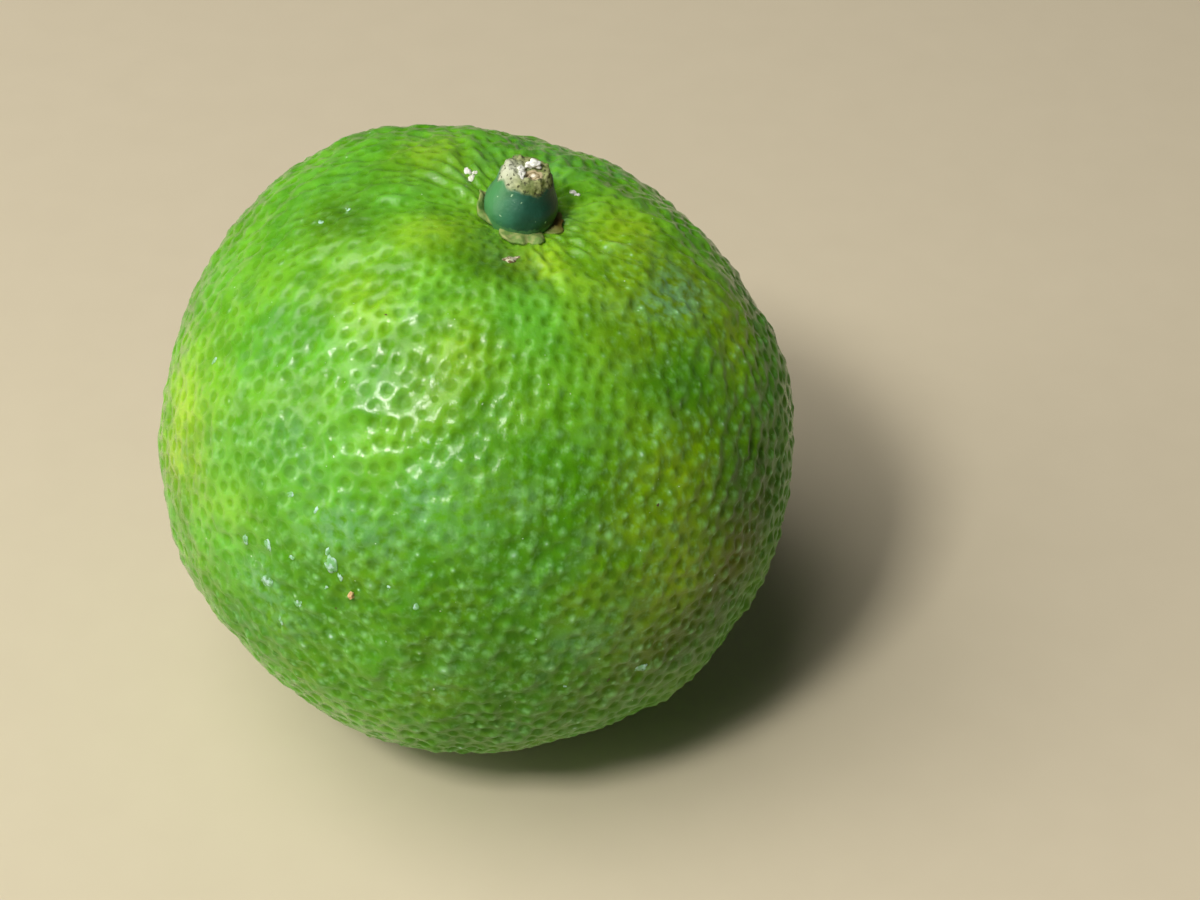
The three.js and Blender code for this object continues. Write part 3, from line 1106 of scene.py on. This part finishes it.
# %% Scuffed wax
# Flaked wax lets the green through, so a scuff is a bluish veil more than a white spot.
scuffs = [
    (242.5, 78.3, 1.15, 0.75, 115, 0.04),  # low on the left
    (241.2, 76.4, 0.5, 0.35, 80, 0.04),
    (244.4, 80.0, 0.5, 0.3, 130, 0.03),
    (230.8, 88.9, 1.0, 0.8, 60, 0.02),
    (224.7, 83.8, 0.75, 0.4, 100, 0.02),
    (229.8, 81.5, 0.8, 0.45, 120, 0.015),
    (237.8, 89.4, 0.7, 0.5, 50, 0.02),
    (235, 95, 0.7, 0.4, 120, 0.015),
    (236.8, 70.6, 0.5, 0.28, 70, 0.03),
    (231.2, 70.5, 0.6, 0.3, 30, 0.02),
    (235, 81.1, 0.4, 0.3, 20, 0.02),
    (242.4, 83.1, 0.3, 0.2, 40, 0.02),
    (258.2, 80.7, 0.5, 0.35, 80, 0.02),
    (253, 78.5, 0.3, 0.2, 0, 0.02),
    (199, 64, 0.55, 0.28, 80, 0.03),
    (300.8, 96.2, 0.9, 0.42, 25, 0.04),  # low on the right
    (286, 96.3, 0.3, 0.16, 80, 0.03),
    (182.5, 36.3, 0.5, 0.32, 20, 0.03),  # upper left
    (178.6, 31.6, 0.4, 0.25, 60, 0.03),
    (60, 40, 0.7, 0.4, 10, 0.04),  # on the back
    (95, 75, 0.9, 0.5, 60, 0.03),
    (40, 95, 0.6, 0.35, 30, 0.04),
]
scuffed, tree = new_material("pale_scuffed_wax")
shade = layered(tree, "#72b06c", (blotches(tree, 0.35, 3.0, 0.4, 0.65), "#b0d6c8"))
finish_material(tree, Base_Color=shade, Roughness=0.45, IOR=1.45)
scuff_piece = on_rind("pale_scuffs", [flake(*each) for each in scuffs], scuffed)
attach(scuff_piece, "root")

# %% [markdown]
# The last small things: a scab that insects or rubbing left below the stem, one crumb of bark, and
# a few dead spots no bigger than a grain of sand. Nobody looks at them one by one, but a rind
# without them looks like wax fruit.

# %% A scab
# Brown specks on dry grey skin.
scab_finish, tree = new_material("brown_speckled_scab")
shade = layered(tree, "#c6c2a4", (blotches(tree, 0.28, 2.0, 0.45, 0.58), "#6a5634"))
finish_material(tree, Base_Color=shade, Roughness=0.8, IOR=1.45)
scabs = [flake(263, 14.8, 0.95, 0.75, 20, 0.1), flake(268, 13.6, 0.4, 0.3, 0, 0.07)]
scab = on_rind("scab_below_stem", scabs, scab_finish)
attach(scab, "root")

# %% A crumb
# Warm tan, the one warm colour on the front of the fruit.
crumb_finish, tree = new_material("tan_bark_crumb")
shade = layered(tree, "#b98a52", (grain(tree, 0.2), "#e8c89a"))
finish_material(tree, Base_Color=shade, Roughness=0.75, IOR=1.45)
CRUMB_LIFT = 0.08  # mm, from the rind to its middle
crumb_way = toward(247, 82.6)
crumb_middle = crumb_way * (rind_radius(crumb_way[None]) + CRUMB_LIFT)
crumb = on_rind("tan_crumb", [lump(crumb_middle, [0.17, 0.2, 0.26], 0.14, 0.9)], crumb_finish)
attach(crumb, "root")

# %% Dead spots
# Dark brown and duller than the wax.
dark_spot, tree = new_material("dark_brown_dead_spot")
shade = layered(tree, "#3a3212", (grain(tree, 0.2), "#5a4a22"))
finish_material(tree, Base_Color=shade, Roughness=0.6, IOR=1.45)
spots = [
    (300.9, 62.4, 0.22, 0.12, 60, 0.02),
    (229.7, 36.2, 0.16, 0.12, 20, 0.02),
    (244.6, 86.8, 0.3, 0.1, 100, 0.02),
    (294.6, 97.3, 0.3, 0.14, 60, 0.02),
    (110, 50, 0.25, 0.15, 30, 0.02),  # on the back
    (55, 70, 0.2, 0.15, 70, 0.02),
    (85, 105, 0.3, 0.2, 10, 0.02),
]
dead_spots = on_rind("dead_spots", [flake(*each) for each in spots], dark_spot)
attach(dead_spots, "root")

# %% [markdown]
# ## Camera, floor and light
# A long lens looks down on the fruit from 40 degrees above the table. A large soft light overhead
# and to the left shapes it, a small bright one in front of it makes the glints in the wax, and a
# low one on the left opens the shadow at that edge. A little light comes from everywhere.

# %% Camera
VIEW_DOWN = np.radians(40)
CAMERA_AWAY = 180.0  # mm from the heart
AIM_RIGHT, AIM_DOWN = 7.8, 0.64  # mm from the heart, in the picture
LENS, SENSOR = 84.5, 36  # mm
heart = np.array([0.0, 0.0, HEART])
to_camera = np.array([0.0, -np.cos(VIEW_DOWN), np.sin(VIEW_DOWN)])
picture_up = np.array([0.0, np.sin(VIEW_DOWN), np.cos(VIEW_DOWN)])
aim = heart + AIM_RIGHT * np.array([1.0, 0.0, 0.0]) - AIM_DOWN * picture_up


def look_at(thing, place, target, up=picture_up):
    """Puts a camera or lamp at a place in millimetres, turned to face a target. The way up in its
    picture lies as near as it can to the one given."""
    back = Vector((place - target).tolist()).normalized()
    right = Vector(up.tolist()).cross(back).normalized()
    thing.location = Vector((place * MM).tolist())
    thing.rotation_euler = Matrix((right, back.cross(right), back)).transposed().to_euler()


camera = bpy.data.objects.new("camera", bpy.data.cameras.new("camera"))
bpy.context.scene.collection.objects.link(camera)
camera.data.lens = LENS
camera.data.sensor_width = SENSOR
camera.data.clip_start = 0.01
look_at(camera, heart + CAMERA_AWAY * to_camera, aim)
bpy.context.scene.camera = camera
print("camera, mm:", [round(side / MM) for side in camera.location])

# %% Lights
def window(name, way, away, width, watts, tint):
    """A square area light at a distance in mm from the heart, facing it."""
    lamp = bpy.data.objects.new(name, bpy.data.lights.new(name, "AREA"))
    bpy.context.scene.collection.objects.link(lamp)
    lamp.data.size = width * MM
    lamp.data.energy = watts
    lamp.data.color = colour(tint)[:3]
    way = np.array(way, float)
    look_at(lamp, heart + away * way / np.linalg.norm(way), heart)
    print(name, "is", width, "mm across and gives", watts, "W")


window("window_light", (-0.37, -0.51, 0.77), 450, 76, 1.24, "#fffdf6")
window("sky_light", (-0.47, -0.17, 0.87), 520, 480, 2.15, "#fffdf8")
window("left_light", (-0.95, -0.17, 0.22), 450, 220, 0.52, "#fffaf0")
world = bpy.data.worlds.new("room")
world.use_nodes = True
background = world.node_tree.nodes["Background"]
background.inputs["Color"].default_value = colour("#f2f1ee")
background.inputs["Strength"].default_value = 0.05
bpy.context.scene.world = world
bpy.context.scene.view_settings.view_transform = "Standard"

# %% Floor
# Cream card without gloss, so the light it throws back on the fruit is warm and even.
floor_finish, tree = new_material("matte_cream_card")
card = layered(tree, "#cbbfa6", (grain(tree, 4.0), "#cfc3aa"))
finish_material(tree, Base_Color=card, Roughness=0.9, IOR=1.45)
SECTORS = 96
INNER, OUTER = 100, 1500  # radii of its two rings, mm
FLOOR_TOP = -0.02  # mm, just clear of the fruit
around = np.linspace(0, 2 * np.pi, SECTORS, endpoint=False)
circle = np.stack([np.cos(around), np.sin(around), 0 * around], axis=1)
floor_points = np.concatenate([INNER * circle, OUTER * circle, [[0.0, 0.0, 0.0]]])
floor_points[:, 2] = FLOOR_TOP
here = np.arange(SECTORS)
beside = np.roll(here, -1)
floor_faces = [[2 * SECTORS, a, b] for a, b in zip(here, beside)]
floor_faces += [[a, a + SECTORS, b + SECTORS, b] for a, b in zip(here, beside)]
floor = make_piece("floor", floor_points, floor_faces, floor_finish)
